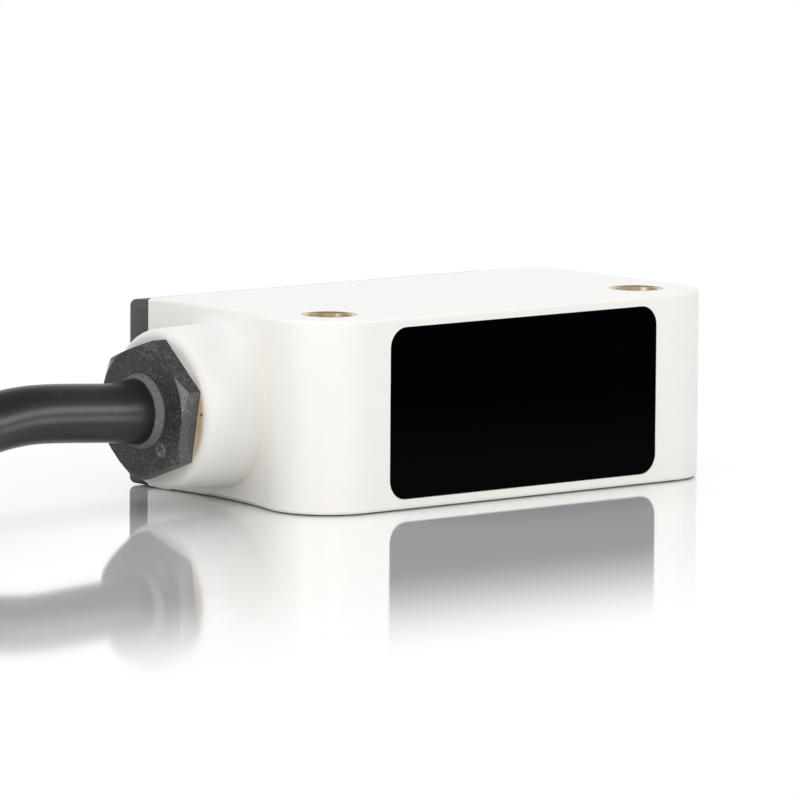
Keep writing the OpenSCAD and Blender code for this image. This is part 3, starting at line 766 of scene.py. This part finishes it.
# A finish for each material slot of the record
finishes = {
    "housing_plastic": housing_plastic(),
    "window_plastic": window_plastic(),
    "nut_plastic": nut_plastic(),
    "brass": brass(),
    "jacket": cable_jacket(),
    "lens_plastic": clear_lens(),
    "board": board(),
    "cover_plastic": moulded("cover_plastic", (0.046, 0.041, 0.041), 0.10, (0.42, 0.55), 0.14,
                             0.008),
    "seal_rubber": moulded("seal_rubber", (0.018, 0.018, 0.019), 0.15, (0.55, 0.7),
                           Specular_IOR_Level=0.35),
    "washer_plastic": moulded("washer_plastic", (0.68, 0.67, 0.63), 0.04),
    "holder_plastic": moulded("holder_plastic", (0.010, 0.010, 0.010), 0.2, (0.6, 0.75),
                              Specular_IOR_Level=0.35),
    "chip_plastic": moulded("chip_plastic", (0.014, 0.014, 0.016), 0.2, (0.45, 0.6), 0.08, 0.006),
    "ceramic": moulded("ceramic", (0.34, 0.24, 0.14), 0.15, (0.5, 0.6), 0.1, 0.004),
    "tie_plastic": moulded("tie_plastic", (0.016, 0.016, 0.017), 0.15, (0.35, 0.5), 0.3),
    "core_brown_pvc": moulded("core_brown_pvc", (0.14, 0.055, 0.022), 0.12, (0.32, 0.42)),
    "core_blue_pvc": moulded("core_blue_pvc", (0.02, 0.085, 0.38), 0.12, (0.32, 0.42)),
    "core_black_pvc": moulded("core_black_pvc", (0.016, 0.016, 0.017), 0.15, (0.32, 0.42)),
    "diode_epoxy": moulded("diode_epoxy", (0.010, 0.008, 0.014), 0.2, (0.08, 0.14), 1.0, 0.002),
    "tinned_metal": drawn_metal("tinned_metal", (0.78, 0.79, 0.80), (0.60, 0.60, 0.60)),
    "pin_metal": drawn_metal("pin_metal", (0.90, 0.72, 0.36), (0.78, 0.58, 0.26)),
    "can_metal": drawn_metal("can_metal", (0.82, 0.82, 0.84), (0.70, 0.70, 0.72)),
    "led_epoxy": tinted_resin("led_epoxy", (0.55, 0.60, 0.85), 0.06, 0.8),
    "lamp_red": tinted_resin("lamp_red", (0.62, 0.035, 0.025), 0.10, 0.35),
}


def dress(piece, slot):
    """Give a piece or a CAD node the finish of its slot, and no other."""
    piece.data.materials.clear()
    piece.data.materials.append(finishes[slot])


for row in frame["record"]["subparts"]:
    dress(nodes[row["node"]], row["material_slot"])
for piece, slot in own_pieces:
    dress(piece, slot)


# Studio

COOL, WARM = (0.97, 0.985, 1.06), (1.0, 0.97, 0.91)
# Softboxes: place and size in metres, power in watts, and colour
SOFTBOXES = {
    "top_softbox": ((0.0, 0.05, 0.95), (1.3, 1.3), 8.2, COOL),
    "left_softbox": ((-0.98, -0.12, 0.22), (0.4, 0.36), 4.0, WARM),
    "camera_softbox": ((-0.45, -0.85, 0.30), (0.4, 0.4), 1.05, WARM),
    "right_softbox": ((0.64, -0.82, 0.27), (0.34, 0.30), 1.6, WARM),
}
AIM = Vector((0, 0, 0.01))
# Height of a direction, from 0 level to 1 straight up, at which the room gets darker and ends
# being so, and what light is left there
DARKER_FROM, DARKER_TO, CEILING = 0.3, 0.75, 0.2
# The line under the sensor and the hank, in millimetres, and the distances from it between which
# the floor fades into the white
LINE_X, LINE_Y, LINE_HALF = -50.0, 12.0, 70.0
FADE_FROM, FADE_TO = 46.0, 86.0
FLOOR_HALF, FLOOR_Z = 3.0, -0.0001


def make_softbox(name, at, size, power, colour):
    """A soft lamp that is aimed at the sensor. Gloss doesn't mirror the top one."""
    data = bpy.data.lights.new(name, "AREA")
    data.shape = "RECTANGLE"
    data.size, data.size_y = size
    data.energy = power
    data.color = colour
    lamp = link(bpy.data.objects.new(name, data))
    lamp.location = at
    lamp.rotation_euler = (AIM - Vector(at)).to_track_quat("-Z", "Y").to_euler()
    lamp.visible_glossy = name != "top_softbox"


def make_world():
    """A white room all round, with a dimmer ceiling."""
    world = bpy.data.worlds.new("studio")
    bpy.context.scene.world = world
    world.use_nodes = True
    room = NodeMaker(world.node_tree)
    height = room.node("SeparateXYZ", None, [room.node("TexCoord", output="Generated")], "Z")
    bright = room.node("MapRange", None, [height, DARKER_FROM, DARKER_TO, 1.0, CEILING])
    light = room.tree.nodes["Background"]
    light.inputs["Color"].default_value = (1, 1, 1, 1)
    room.tree.links.new(bright.socket, light.inputs["Strength"])


def floor_white():
    """White gloss sheet that fades into the white background away from the sensor."""
    f = Finish("floor_white", Base_Color=(0.98, 0.98, 0.98, 1), Roughness=0.06, IOR=1.6,
               Metallic=0.42)
    camera = f.node("LightPath", output="Is Camera Ray")
    glossy = f.node("LightPath", output="Is Glossy Ray")
    through = f.node("LightPath", output="Is Transmission Ray")
    x, y = f.axis("X") - LINE_X, f.axis("Y") - LINE_Y
    beside = (abs(x) - LINE_HALF).math("MAXIMUM", 0.0)
    away = (beside * beside + y * y).math("SQRT").ramp(FADE_FROM, FADE_TO)
    seen = camera.math("MAXIMUM", glossy).math("MAXIMUM", through) * away
    white = f.node("Emission", None, {"Color": (1, 1, 1, 1), "Strength": 1.0})
    mix = f.node("MixShader", None, [seen, Value(f, f.shader.outputs[0]), white])
    f.tree.links.new(mix.socket, f.tree.nodes["Material Output"].inputs["Surface"])
    return f.material


def make_floor():
    """A flat sheet just under the sensor."""
    bm = bmesh.new()
    bmesh.ops.create_grid(bm, x_segments=1, y_segments=1, size=FLOOR_HALF)
    bmesh.ops.translate(bm, vec=(0, 0, FLOOR_Z), verts=bm.verts)
    data = bpy.data.meshes.new("floor")
    bm.to_mesh(data)
    bm.free()
    data.materials.append(floor_white())
    link(bpy.data.objects.new("floor", data))


for name, values in SOFTBOXES.items():
    make_softbox(name, *values)
make_world()
make_floor()
bpy.context.scene.view_settings.view_transform = "Standard"
